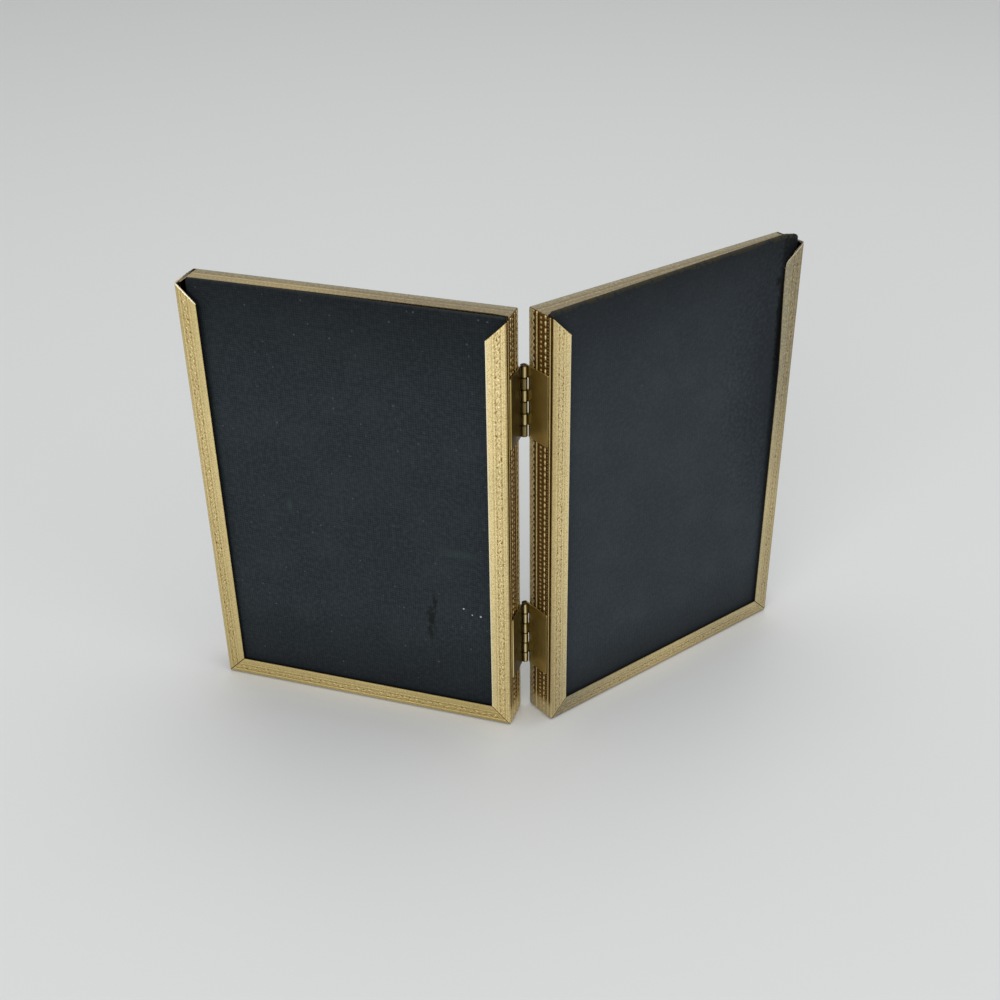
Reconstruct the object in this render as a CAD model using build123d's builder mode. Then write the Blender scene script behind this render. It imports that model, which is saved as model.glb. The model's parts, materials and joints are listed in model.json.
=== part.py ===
from build123d import *
import math
import os

# A hinged double photo frame, standing open. Each frame is four lengths of embossed brass channel, mitred
# at the corners, around a glass, a photo card, a packing card and a cloth-covered backing board. The top
# rail has no back flange, so the board slides up and out behind it. Two butt hinges join the inner stiles.
# Millimetres, +Z up, pictures facing +Y, origin on the floor in the middle of the standing frame.

# The standing pair
opening_angle = 125.0

# One frame, over the plain faces of the channel
frame_width = 94.0
frame_height = 131.5
frame_depth = 11.0

# The brass strip: web between a front and a back flange
sheet = 0.45
flange_width = 5.7
fold_radius = 0.35
rib_relief = 0.25
rib_slope = 60.0
front_rope_place = 2.75
front_rope_width = 1.0
smooth_rib_place = 3.85
smooth_rib_width = 0.9
back_rope_place = 7.3
back_rope_width = 1.1
edge_rib_inset = 1.25
edge_rib_width = 0.7
flange_line_place = 3.6
flange_line_width = 0.6
flange_line_relief = 0.15
worn_corner = 4.0

# The top rail, trimmed by hand, with a tab bent down inside the outer stile
rail_rear_corner = 8.2
rail_corner_length = 5.0
left_rail_rear_shoulder = 6.6
left_rail_rear_inner = 6.1
left_rail_rear_outer = 6.7
right_rail_rear_shoulder = 7.4
right_rail_rear_inner = 7.3
right_rail_rear_outer = 5.0
joint_gap = 0.7
tab_drop = 4.0
left_tab_depth = 9.75
right_tab_depth = 6.6

# What each frame holds
insert_clearance = 0.35
glass_thickness = 2.0
glass_chamfer = 0.2
photo_thickness = 0.3
packing_thickness = 3.2
head_clearance = 0.5
board_thickness = 1.1
cloth_thickness = 0.25
hem_width = 9.0
left_slot_gap = 0.35
right_slot_gap = 0.1
board_foot_gap = 0.95
seat_clearance = 0.05
left_board_rise_inner = -0.3
left_board_rise_outer = 0.05
right_board_rise_inner = 0.5
right_board_rise_outer = 2.4
right_board_gap = 0.25
right_board_wear = 1.0
board_wear_length = 4.5
board_corner = 0.8

# The hinges: leaves rolled into knuckles round a pin
hinge_height = 21.4
hinge_inset = 16.5
hinge_lead = 0.35
pin_diameter = 1.0
pin_clearance = 0.05
pin_chamfer = 0.15
leaf_thickness = 0.45
leaf_reach = 9.1
leaf_corner = 0.4
knuckle_count = 6
knuckle_gap = 0.12
notch_clearance = 0.25
roll_seam = 0.08

# Places that follow from the sizes: s runs outwards from the hinge axis, t backwards from the front flange
barrel_radius = pin_diameter / 2 + pin_clearance + leaf_thickness
inner_face = barrel_radius + rib_relief
outer_face = inner_face + frame_width
base_face = rib_relief
top_face = base_face + frame_height
floor_face = base_face + sheet
rail_end = outer_face - sheet - joint_gap
insert_inner = inner_face + sheet + insert_clearance
insert_outer = rail_end - sheet - insert_clearance
notch_edge = barrel_radius - hinge_lead + notch_clearance
web_ribs = (
    (front_rope_place, front_rope_width),
    (smooth_rib_place, smooth_rib_width),
    (back_rope_place, back_rope_width),
    (frame_depth - edge_rib_inset, edge_rib_width),
)
rail_rears = {
    "left": (left_rail_rear_shoulder, left_rail_rear_inner, left_rail_rear_outer),
    "right": (right_rail_rear_shoulder, right_rail_rear_inner, right_rail_rear_outer),
}
tab_depths = {"left": left_tab_depth, "right": right_tab_depth}
slot_gaps = {"left": left_slot_gap, "right": right_slot_gap}
board_outers = {"left": insert_outer, "right": outer_face - sheet - right_board_gap}
board_wears = {"left": 0, "right": right_board_wear}
board_rises = {
    "left": (left_board_rise_inner, left_board_rise_outer),
    "right": (right_board_rise_inner, right_board_rise_outer),
}

# The left frame's axes: the hinge axis is placed so that the standing pair is centred over the origin
swing = math.radians((180 - opening_angle) / 2)
along = Vector(-math.cos(swing), math.sin(swing), 0)
back = Vector(-math.sin(swing), -math.cos(swing), 0)
up = Vector(0, 0, 1)
far_reach = fold_radius + along.Y * (outer_face - fold_radius) + back.Y * (fold_radius + hinge_lead)
near_fold = frame_depth - fold_radius + hinge_lead
near_reach = -fold_radius + along.Y * (inner_face + fold_radius) + back.Y * near_fold
hinge_axis = Vector(0, -(far_reach + near_reach) / 2, 0)
left_frame = Plane(origin=hinge_axis + back * hinge_lead, x_dir=along, z_dir=up)


def place(s, t, z):
    """Point at s along, t behind and z above the left frame's front hinge corner."""
    return left_frame.from_local_coords((s, t, z))


def side_plane(name):
    """Section plane of one side of the left frame: x backwards, y into the channel, z along the side."""
    start, direction = {
        "inner_stile": (place(inner_face, 0, top_face), -up),
        "bottom_rail": (place(inner_face, 0, base_face), along),
        "outer_stile": (place(outer_face, 0, base_face), up),
        "top_rail": (place(outer_face, 0, top_face), -along),
    }[name]
    return Plane(origin=start, x_dir=back, z_dir=direction)


def turn_to(side):
    """Turn the piece being built from the left frame to its side of the hinge."""
    if side == "right":
        mirror(about=Plane.YZ, mode=Mode.REPLACE)


def draw_rib(width, relief, turn):
    """Raised rib on the strip's outer face, with its foot on the face."""
    Trapezoid(width, relief, rib_slope, rotation=turn, align=(Align.CENTER, Align.MIN))


def draw_front_flange():
    """Front flange with its raised line."""
    Rectangle(sheet, flange_width, align=Align.MIN)
    with Locations((0, flange_line_place)):
        draw_rib(flange_line_width, flange_line_relief, 90)


def draw_back_flange():
    """Back flange with its raised line."""
    with Locations((frame_depth, 0)):
        Rectangle(sheet, flange_width, align=(Align.MAX, Align.MIN))
    with Locations((frame_depth, flange_line_place)):
        draw_rib(flange_line_width, flange_line_relief, -90)


def draw_channel(section, web_end):
    """Section of the strip from the front flange to web_end, with a back flange where the web is whole."""
    Rectangle(web_end, sheet, align=Align.MIN)
    draw_front_flange()
    if web_end == frame_depth:
        draw_back_flange()
    folds = [corner for corner in section.vertices() if corner.Y == 0 and corner.X in (0, frame_depth)]
    fillet(folds, fold_radius)
    for rib_place, width in web_ribs:
        if rib_place + width / 2 < web_end:
            with Locations((rib_place, 0)):
                draw_rib(width, rib_relief, 180)


def cut_mitres(plane, length):
    """Mitre both ends of the side being built."""
    inwards, onwards = plane.y_dir, plane.z_dir
    split(bisect_by=Plane(plane.origin, x_dir=plane.x_dir, z_dir=onwards - inwards), keep=Keep.TOP)
    far_corner = plane.origin + onwards * length
    split(bisect_by=Plane(far_corner, x_dir=plane.x_dir, z_dir=-onwards - inwards), keep=Keep.TOP)


def channel_side(side, name):
    """Stile or bottom rail: the whole channel, mitred at both ends."""
    plane = side_plane(name)
    length = frame_width if name.endswith("rail") else frame_height
    with BuildPart() as channel:
        with BuildSketch(plane.offset(-rib_relief)) as section:
            draw_channel(section, frame_depth)
        extrude(amount=length + 2 * rib_relief)
        cut_mitres(plane, length)
        if (side, name) == ("right", "outer_stile"):
            edges = channel.edges().filter_by(lambda edge: edge.length < 2 * sheet)
            flange_tip = place(outer_face - flange_width, frame_depth, top_face - flange_width)
            fillet(edges.sort_by_distance(flange_tip)[0], worn_corner)
        turn_to(side)
    return channel


def top_rail(side):
    """Top rail: front flange and trimmed web, ending in a tab that hangs inside the outer stile."""
    plane = side_plane("top_rail")
    rear_shoulder, rear_inner, rear_outer = rail_rears[side]
    rear_most = max(rail_rear_corner, *rail_rears[side])
    with BuildPart() as rail:
        with BuildSketch(plane.offset(-rib_relief)) as section:
            draw_channel(section, rear_most)
        extrude(amount=frame_width + 2 * rib_relief)
        cut_mitres(plane, frame_width)
        with BuildSketch(left_frame.offset(top_face + rib_relief)):
            Polygon(
                (inner_face - rib_relief, rail_rear_corner),
                (inner_face, rail_rear_corner),
                (insert_inner, rear_shoulder),
                (inner_face + rail_corner_length, rear_inner),
                (rail_end, rear_outer),
                (rail_end, sheet),
                (outer_face + rib_relief, sheet),
                (outer_face + rib_relief, frame_depth),
                (inner_face - rib_relief, frame_depth),
                align=None,
            )
        extrude(amount=-rib_relief - sheet, mode=Mode.SUBTRACT)
        with BuildSketch(left_frame.offset(top_face)):
            with Locations((rail_end, sheet)):
                Rectangle(sheet, tab_depths[side], align=(Align.MAX, Align.MIN))
        extrude(amount=-sheet - tab_drop)
        turn_to(side)
    return rail


def flat_insert(side, front, thickness, head, chamfer_size):
    """Flat sheet standing on the bottom rail between the stiles, with its front face at t = front."""
    upright = Plane(place(0, front, floor_face), x_dir=along, z_dir=-back)
    with BuildPart() as insert:
        with BuildSketch(upright):
            with Locations((insert_inner, 0)):
                Rectangle(insert_outer - insert_inner, head - floor_face, align=Align.MIN)
        extrude(amount=-thickness)
        if chamfer_size:
            chamfer(insert.edges(), chamfer_size)
        turn_to(side)
    return insert


# The backing board leans forward, from the foot of the back flange to the rear edge of the top rail
board_foot = floor_face + cloth_thickness + seat_clearance
foot_front = frame_depth - sheet - board_foot_gap - cloth_thickness - board_thickness


def board_plane(side):
    """Plane of the board's front, in the left frame: x outwards along its foot, y up the board."""
    head_front = max(rail_rears[side]) + slot_gaps[side] + cloth_thickness
    lean = Vector(0, head_front - foot_front, top_face - board_foot).normalized()
    upwards = back * lean.Y + up * lean.Z
    return Plane(place(0, foot_front, board_foot), x_dir=along, z_dir=along.cross(upwards))


def draw_board(side, grow):
    """Outline of the board, grown on every side: a sloping top with rounded corners, one of them worn."""
    rise_inner, rise_outer = board_rises[side]
    inner_edge = insert_inner + cloth_thickness - grow
    outer_edge = board_outers[side] - cloth_thickness + grow
    top = top_face - board_foot + grow
    corners = [
        (inner_edge, -grow),
        (outer_edge, -grow),
        (outer_edge, top + rise_outer - board_wears[side]),
        (inner_edge, top + rise_inner),
    ]
    if board_wears[side]:
        slope = (rise_outer - rise_inner) / (outer_edge - inner_edge)
        corners.insert(3, (outer_edge - board_wear_length, top + rise_outer - slope * board_wear_length))
    outline = Polygon(*corners, align=None)
    fillet(outline.vertices().sort_by(Axis.Y)[2:], board_corner)


def backing_board(side):
    """Stiff card that closes the back of the frame."""
    with BuildPart() as board:
        with BuildSketch(board_plane(side)):
            draw_board(side, 0)
        extrude(amount=-board_thickness)
        turn_to(side)
    return board


def backing_cloth(side):
    """Cloth drawn over the board's back and edges, and turned in as a hem on its front."""
    front = board_plane(side)
    with BuildPart() as cloth:
        with BuildSketch(front.offset(cloth_thickness)):
            draw_board(side, cloth_thickness)
        extrude(amount=-board_thickness - 2 * cloth_thickness)
        with BuildSketch(front):
            draw_board(side, 0)
        extrude(amount=-board_thickness, mode=Mode.SUBTRACT)
        with BuildSketch(front):
            draw_board(side, -hem_width)
        extrude(amount=cloth_thickness, mode=Mode.SUBTRACT)
        turn_to(side)
    return cloth


def knuckle_feet(foot, first):
    """Heights of every other knuckle's lower end, the first counted from the top of the barrel."""
    pitch = hinge_height / knuckle_count
    top = foot + hinge_height + knuckle_gap / 2
    return [top - (index + 1) * pitch for index in range(first, knuckle_count, 2)]


def hinge_leaf(side, foot):
    """Leaf flat on the ribs of its inner stile, with three tongues rolled round the pin."""
    first = 0 if side == "right" else 1
    knuckle_length = hinge_height / knuckle_count - knuckle_gap
    leaf_inside = barrel_radius - leaf_thickness
    with BuildPart() as leaf:
        with BuildSketch(Plane(place(leaf_inside, 0, foot), x_dir=back, z_dir=along)) as plate:
            with Locations((notch_edge, 0)):
                Rectangle(leaf_reach - notch_edge, hinge_height, align=Align.MIN)
            fillet(plate.vertices().group_by(Axis.X)[-1], leaf_corner)
        extrude(amount=leaf_thickness)
        with BuildSketch(*(left_frame.offset(z) for z in knuckle_feet(foot, first))):
            with Locations((leaf_inside, -hinge_lead)):
                Rectangle(leaf_thickness, notch_edge + hinge_lead, align=Align.MIN)
            with Locations((0, -hinge_lead)):
                Circle(barrel_radius)
                Circle(barrel_radius - leaf_thickness, mode=Mode.SUBTRACT)
            with Locations((leaf_inside, -hinge_lead)):
                Rectangle(roll_seam, barrel_radius, align=(Align.MAX, Align.MIN), mode=Mode.SUBTRACT)
        extrude(amount=knuckle_length)
        turn_to(side)
    return leaf


def hinge_pin(foot):
    """Pin through all the knuckles of one hinge."""
    with BuildPart() as pin:
        with BuildSketch(left_frame.offset(foot)):
            with Locations((0, -hinge_lead)):
                Circle(pin_diameter / 2)
        extrude(amount=hinge_height)
        chamfer(pin.edges().filter_by(GeomType.CIRCLE), pin_chamfer)
    return pin


def write(piece, name):
    """Label a finished piece and write it."""
    piece.part.label = name
    export_step(piece.part, f"parts/{name}.step")


os.makedirs("parts", exist_ok=True)

photo_front = sheet + glass_thickness
packing_front = photo_front + photo_thickness
insert_head = top_face - sheet - head_clearance

for side in ("left", "right"):
    for name in ("inner_stile", "outer_stile", "bottom_rail"):
        write(channel_side(side, name), f"{side}_{name}")
    write(top_rail(side), f"{side}_top_rail")
    write(flat_insert(side, sheet, glass_thickness, insert_head, glass_chamfer), f"{side}_glass")
    write(flat_insert(side, photo_front, photo_thickness, insert_head, 0), f"{side}_photo_card")
    write(flat_insert(side, packing_front, packing_thickness, insert_head, 0), f"{side}_packing_card")
    write(backing_board(side), f"{side}_backing_board")
    write(backing_cloth(side), f"{side}_backing_cloth")

hinge_feet = {
    "lower": base_face + hinge_inset,
    "upper": top_face - hinge_inset - hinge_height,
}
for hinge, foot in hinge_feet.items():
    for side in ("left", "right"):
        write(hinge_leaf(side, foot), f"{hinge}_hinge_{side}_leaf")
    write(hinge_pin(foot), f"{hinge}_hinge_pin")

print("hinge axis", hinge_axis)
print("left board slides along", board_plane("left").y_dir)
print("right board, before it is mirrored, slides along", board_plane("right").y_dir)
print("left base point", place(inner_face + frame_width / 2, smooth_rib_place, 0))
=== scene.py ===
"""Looks of a hinged double photo frame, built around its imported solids.

Each frame is four lengths of embossed gilt brass channel round a glass, a photo card, a packing card and a
cloth-covered backing board, and two butt hinges join the frames. Classes hold sizes in millimetres, and
Blender gets metres. In a frame, s runs outwards from the hinge axis, t backwards from the front, z upwards.
"""

import json
import logging
import math
from dataclasses import dataclass
from enum import Enum

import bpy
import numpy as np
from mathutils import Matrix, Vector


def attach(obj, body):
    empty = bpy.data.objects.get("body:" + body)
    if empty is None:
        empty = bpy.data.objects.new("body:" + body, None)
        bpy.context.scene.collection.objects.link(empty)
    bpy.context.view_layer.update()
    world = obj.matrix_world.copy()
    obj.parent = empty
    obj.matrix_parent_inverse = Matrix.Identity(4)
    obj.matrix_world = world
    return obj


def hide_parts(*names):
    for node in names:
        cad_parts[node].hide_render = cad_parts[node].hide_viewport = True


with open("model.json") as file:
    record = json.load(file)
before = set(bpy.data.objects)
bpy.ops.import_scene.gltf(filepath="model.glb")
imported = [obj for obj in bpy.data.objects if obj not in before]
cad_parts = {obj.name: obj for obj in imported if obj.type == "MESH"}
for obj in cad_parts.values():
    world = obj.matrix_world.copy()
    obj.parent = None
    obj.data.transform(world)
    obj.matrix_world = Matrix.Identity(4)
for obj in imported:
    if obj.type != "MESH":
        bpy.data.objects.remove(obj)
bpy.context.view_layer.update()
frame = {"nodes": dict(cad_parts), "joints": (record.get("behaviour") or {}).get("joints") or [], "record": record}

LOG = logging.getLogger("photo_frame")
MM = 0.001
Array = np.ndarray


class Side(Enum):
    """Which frame a piece belongs to; the value is the frame's sign along X."""

    LEFT = -1
    RIGHT = 1

    @property
    def label(self) -> str:
        """Start of the names of its nodes and bodies."""
        return self.name.lower()


class Member(Enum):
    """One side of a frame; the value is the end of its node's name."""

    INNER_STILE = "inner_stile"
    BOTTOM_RAIL = "bottom_rail"
    OUTER_STILE = "outer_stile"
    TOP_RAIL = "top_rail"


class Hinge(Enum):
    """One of the two hinges; the value is the height of its foot in millimetres."""

    LOWER = 16.75
    UPPER = 93.85

    @property
    def label(self) -> str:
        """Start of the names of its nodes."""
        return f"{self.name.lower()}_hinge"


@dataclass(frozen=True)
class FrameSizes:
    """Sizes that the pieces of both frames share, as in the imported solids.

    The inserts are the glass, the cards and the board that stand in the channel.
    """

    opening: float = 125.0
    width: float = 94.0
    height: float = 131.5
    depth: float = 11.0
    sheet: float = 0.45
    flange: float = 5.7
    inner_face: float = 1.25
    base_face: float = 0.25
    lead: float = 0.35
    insert_inner: float = 2.05
    insert_outer: float = 93.3

    @property
    def outer_face(self) -> float:
        """Place of the outer stile's plain outer face."""
        return self.inner_face + self.width

    @property
    def top_face(self) -> float:
        """Height of the top rail's plain upper face."""
        return self.base_face + self.height

    def world(self, side: Side, s: Array, t: Array, z: Array) -> Array:
        """Turn places in a frame into places in the shared model.

        The hinge axis is the fold joint's; a frame lies at half the standing angle to either side of it.

        Args:
            side: The frame.
            s: Distances outwards from the hinge axis, in millimetres.
            t: Distances backwards from the frame's front.
            z: Heights.

        Returns:
            Points in metres, one row of three each.
        """
        swing = math.radians((180.0 - self.opening) / 2)
        fold = next(joint for joint in frame["joints"] if joint["name"] == "fold")
        behind = t + self.lead
        x = side.value * (s * math.cos(swing) + behind * math.sin(swing))
        y = fold["pos_m"][1] / MM + s * math.sin(swing) - behind * math.cos(swing)
        return np.stack(np.broadcast_arrays(x, y, z), axis=-1) * MM


SIZES = FrameSizes()


def grid_faces(rows: int, columns: int, closed: bool = True) -> Array:
    """Number the quads of a grid of points that is stored row by row.

    Args:
        rows: How many rows there are.
        columns: How many points a row has.
        closed: Whether a row's last point joins its first.

    Returns:
        Point numbers, one row of four for each quad.
    """
    here = np.arange(columns if closed else columns - 1)
    beside = (here + 1) % columns
    start = np.arange(rows - 1)[:, None] * columns
    above = start + columns
    return np.stack([start + here, start + beside, above + beside, above + here], axis=-1).reshape(-1, 4)


def add_piece(name: str, points: Array, groups: list[Array], sharp: float = 50.0) -> bpy.types.Object:
    """Put points and faces into an object at the origin, with the faces outwards.

    The volume under all the faces, added up as thin pyramids from the origin, is negative where they point
    inwards, and then every face is turned over.

    Args:
        name: The object's name.
        points: Places in metres, one row of three each.
        groups: Arrays of point numbers; the faces in an array all have the same number of corners.
        sharp: Angle in degrees past which an edge is shaded sharp.

    Returns:
        The new object.
    """
    corners = [points[group] for group in groups]
    volume = sum(float(np.sum(c[:, :1] * np.cross(c[:, 1:-1], c[:, 2:]))) for c in corners)
    if volume < 0:
        groups = [group[:, ::-1] for group in groups]
    sizes = np.concatenate([np.full(len(group), group.shape[1]) for group in groups])
    numbers = np.concatenate([group.ravel() for group in groups])
    mesh = bpy.data.meshes.new(name)
    mesh.vertices.add(len(points))
    mesh.vertices.foreach_set("co", points.astype(np.float32).ravel())
    mesh.loops.add(len(numbers))
    mesh.polygons.add(len(sizes))
    mesh.polygons.foreach_set("loop_start", (np.cumsum(sizes) - sizes).astype(np.int32))
    mesh.polygons.foreach_set("vertices", numbers.astype(np.int32))
    mesh.update(calc_edges=True)
    mesh.validate()
    mesh.shade_smooth()
    mesh.set_sharp_from_angle(angle=math.radians(sharp))
    piece = bpy.data.objects.new(name, mesh)
    bpy.context.scene.collection.objects.link(piece)
    return piece


def set_point_values(piece: bpy.types.Object, name: str, values: Array) -> None:
    """Store one number for each point of a piece, for its material to read."""
    stored = piece.data.attributes.new(name, "FLOAT", "POINT")
    stored.data.foreach_set("value", values.astype(np.float32).ravel())


def set_uv(piece: bpy.types.Object, places: Array) -> None:
    """Give a piece a UV map from a pair of numbers for each of its points."""
    corners = np.empty(len(piece.data.loops), np.int32)
    piece.data.loops.foreach_get("vertex_index", corners)
    layer = piece.data.uv_layers.new(name="flat")
    layer.uv.foreach_set("vector", places[corners].astype(np.float32).ravel())


def half_round(x: Array) -> Array:
    """Height of a half circle of radius 1 over x, and 0 outside it."""
    return np.sqrt(np.clip(1.0 - x * x, 0.0, None))


def smooth_step(x: Array, low: float, high: float) -> Array:
    """Rise smoothly from 0 at low to 1 at high."""
    share = np.clip((x - low) / (high - low), 0.0, 1.0)
    return share * share * (3.0 - 2.0 * share)


def wander(s: Array, waves: tuple[tuple[float, float, float], ...]) -> Array:
    """Add up sines that don't repeat together, each given by its size, its rate along s and its shift."""
    return sum(size * np.sin(s * rate + shift) for size, rate, shift in waves)


def from_nearest(a: Array, pitch: float, shift: float = 0.0) -> Array:
    """Signed distance along a row from the nearest of its evenly spaced motifs."""
    return (a - shift + pitch / 2) % pitch - pitch / 2


def box_blur(values: Array, reach: int) -> Array:
    """Average a grid of values over a square that reaches so many points to each side."""
    for axis in (0, 1):
        padding = [(reach + 1, reach) if axis == side else (0, 0) for side in (0, 1)]
        total = np.cumsum(np.pad(values, padding, mode="edge"), axis=axis)
        ahead, behind = np.arange(values.shape[axis]) + 2 * reach + 1, np.arange(values.shape[axis])
        values = (np.take(total, ahead, axis) - np.take(total, behind, axis)) / (2 * reach + 1)
    return values


def to_linear(code: str) -> tuple[float, float, float, float]:
    """Turn an sRGB hex colour into linear red, green, blue and alpha."""
    levels = [int(code[place : place + 2], 16) / 255 for place in (1, 3, 5)]
    red, green, blue = (v / 12.92 if v <= 0.04045 else ((v + 0.055) / 1.055) ** 2.4 for v in levels)
    return red, green, blue, 1.0


def add_node(
    tree: bpy.types.NodeTree,
    kind: str,
    inputs: dict[str | int, object] | None = None,
    **settings: object,
) -> bpy.types.Node:
    """Add a node with its settings, and fill its inputs.

    Args:
        tree: The material's node tree.
        kind: The node's type name, after the ShaderNode that each starts with.
        inputs: What goes into each named or numbered input. A socket, or a node's first output in use, is
            linked; a hex colour is set in linear levels, and any other value as it is.
        settings: Properties of the node.

    Returns:
        The new node.
    """
    node = tree.nodes.new(f"ShaderNode{kind}")
    for name, value in settings.items():
        setattr(node, name, value)
    for name, value in (inputs or {}).items():
        if isinstance(value, bpy.types.Node):
            value = next(output for output in value.outputs if output.enabled)
        if isinstance(value, bpy.types.NodeSocket):
            tree.links.new(value, node.inputs[name])
        else:
            node.inputs[name].default_value = to_linear(value) if isinstance(value, str) else value
    return node


# Inputs of a node that turns one range into another, in the order of the rows that fill them
RAMP = ("Value", "From Min", "From Max", "To Min", "To Max")


@dataclass(frozen=True)
class Finish:
    """A surface finish; its name says the material and how its surface was made."""

    name: str

    def inputs(self, tree: bpy.types.NodeTree) -> dict[str, object]:
        """Lay out the finish's own nodes, and give what goes into the shader."""
        raise NotImplementedError

    def material(self) -> bpy.types.Material:
        """Make the material: one shader, fed by the finish's own nodes.

        Returns:
            The new material.
        """
        material = bpy.data.materials.new(self.name)
        material.use_nodes = True
        tree = material.node_tree
        tree.nodes.clear()
        surface = add_node(tree, "BsdfPrincipled", self.inputs(tree))
        add_node(tree, "OutputMaterial", {"Surface": surface})
        return material


@dataclass(frozen=True)
class GiltBrass(Finish):
    """Rolled brass strip, gilt-lacquered and aged: satin yellow on the high places, brown in the hollows.

    The lacquer has dulled in patches, some of them olive. A painted highlight pales it along an edge, and
    painted shade turns it near black inside the channel. A fine rolled grain breaks up the shine.
    """

    name: str = "aged_gilt_brass_rolled"
    bright: str = "#FFEAB0"
    dull: str = "#F2DFA9"
    olive: str = "#B5A268"
    tarnish: str = "#9A9480"
    brown: str = "#846429"
    # Near black: patina in the deepest hollows, and painted shade inside the channel
    hollow: str = "#1C1106"
    # Pale: a painted highlight
    rubbed: str = "#FFF4D6"
    patch_mm: float = 14.0
    speck_mm: float = 0.7
    # Rolled grain is nearer 0.1 mm apart; it is drawn at a third of a millimetre so that it shows.
    grain_mm: float = 0.32
    grain_depth: float = 0.03

    def inputs(self, tree: bpy.types.NodeTree) -> dict[str, object]:
        """Lay out the nodes.

        Args:
            tree: The material's node tree.

        Returns:
            Inputs of a metal whose colour goes from bright to dull by patches, to grey by the stored tarnish
            or to olive where that is negative, by the stored patina and painted shade first to brown and then
            almost to black, and by the stored painted light to pale, as a painted highlight.
        """
        place = add_node(tree, "TexCoord").outputs["Object"]
        depth, age, painted_light = (
            add_node(tree, "Attribute", attribute_name=name).outputs["Fac"]
            for name in ("hollow", "tarnish", "rubbed")
        )
        patches, specks, grain = (
            add_node(tree, "TexNoise", {"Vector": place, "Scale": 1 / (size * MM), "Detail": detail})
            for size, detail in ((self.patch_mm, 4.0), (self.speck_mm, 3.0), (self.grain_mm, 2.0))
        )
        dulled, speckled, mottled, yellowed, uneven, browned, black_and_shade, gloss = (
            add_node(tree, "MapRange", dict(zip(RAMP, row)))
            for row in (
                (patches, 0.4, 0.72),
                (specks, 0.55, 0.75, 0.0, 0.6),
                (grain, 0.5, 0.64, 0.0, 0.7),
                (age, 0.0, -1.0),
                (specks, 0.35, 0.65, 1.15, 0.7),
                (depth, 0.0, 0.6),
                (depth, 0.6, 1.0),
                (grain, 0.3, 0.7, 0.4, 0.58),
            )
        )
        stippled = add_node(tree, "Math", {0: speckled, 1: mottled}, operation="MAXIMUM")
        greyed = add_node(tree, "Math", {0: age, 1: uneven}, operation="MULTIPLY")
        colour = self.bright
        # The near-black layer is patina in deep hollows and painted shade inside the channel; the pale layer is a
        # painted highlight
        for amount, code in (
            (dulled, self.dull),
            (stippled, self.olive),
            (yellowed, self.olive),
            (greyed, self.tarnish),
            (browned, self.brown),
            (black_and_shade, self.hollow),
            (painted_light, self.rubbed),
        ):
            colour = add_node(tree, "Mix", {"Factor": amount, "A": colour, "B": code}, data_type="RGBA")
        bump = add_node(tree, "Bump", {"Height": grain, "Strength": 0.6, "Distance": self.grain_depth * MM})
        return {"Base Color": colour, "Metallic": 1.0, "Roughness": gloss, "Normal": bump}


@dataclass(frozen=True)
class HingeBrass(Finish):
    """Brass sheet and wire, pressed and drawn, browned by age and glossy, with painted highlights and shade."""

    name: str = "browned_hinge_brass_pressed"
    bright: str = "#E4D292"
    stain: str = "#C2AA5E"
    # Dark: painted shade
    dark: str = "#3A2A14"
    # Pale: a painted highlight
    rubbed: str = "#F2E6CC"
    stain_mm: float = 9.0
    grain_mm: float = 0.25
    grain_depth: float = 0.02

    def inputs(self, tree: bpy.types.NodeTree) -> dict[str, object]:
        """Lay out the nodes.

        Args:
            tree: The material's node tree.

        Returns:
            Inputs of a metal that goes from bright to stained by soft patches. The stored painted light and
            shade turns it from dark, painted shade, at 0, through plain, at a half, to pale, a painted highlight,
            at 1.
        """
        place = add_node(tree, "TexCoord").outputs["Object"]
        painted_light = add_node(tree, "Attribute", attribute_name="rubbed").outputs["Fac"]
        stains, grain = (
            add_node(tree, "TexNoise", {"Vector": place, "Scale": 1 / (size * MM), "Detail": detail})
            for size, detail in ((self.stain_mm, 5.0), (self.grain_mm, 2.0))
        )
        stained, darkened, paled, gloss = (
            add_node(tree, "MapRange", dict(zip(RAMP, row)))
            for row in (
                (stains, 0.35, 0.68),
                (painted_light, 0.5, 0.0),
                (painted_light, 0.5, 1.0),
                (stains, 0.3, 0.7, 0.3, 0.4),
            )
        )
        colour = self.bright
        for amount, code in ((stained, self.stain), (darkened, self.dark), (paled, self.rubbed)):
            colour = add_node(tree, "Mix", {"Factor": amount, "A": colour, "B": code}, data_type="RGBA")
        bump = add_node(tree, "Bump", {"Height": grain, "Strength": 0.12, "Distance": self.grain_depth * MM})
        return {"Base Color": colour, "Metallic": 1.0, "Roughness": gloss, "Normal": bump}


@dataclass(frozen=True)
class Mark:
    """A soft-edged spot on the cloth: its middle and half size in millimetres, its colour and strength."""

    s: float
    z: float
    wide: float
    high: float
    colour: str
    share: float


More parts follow.
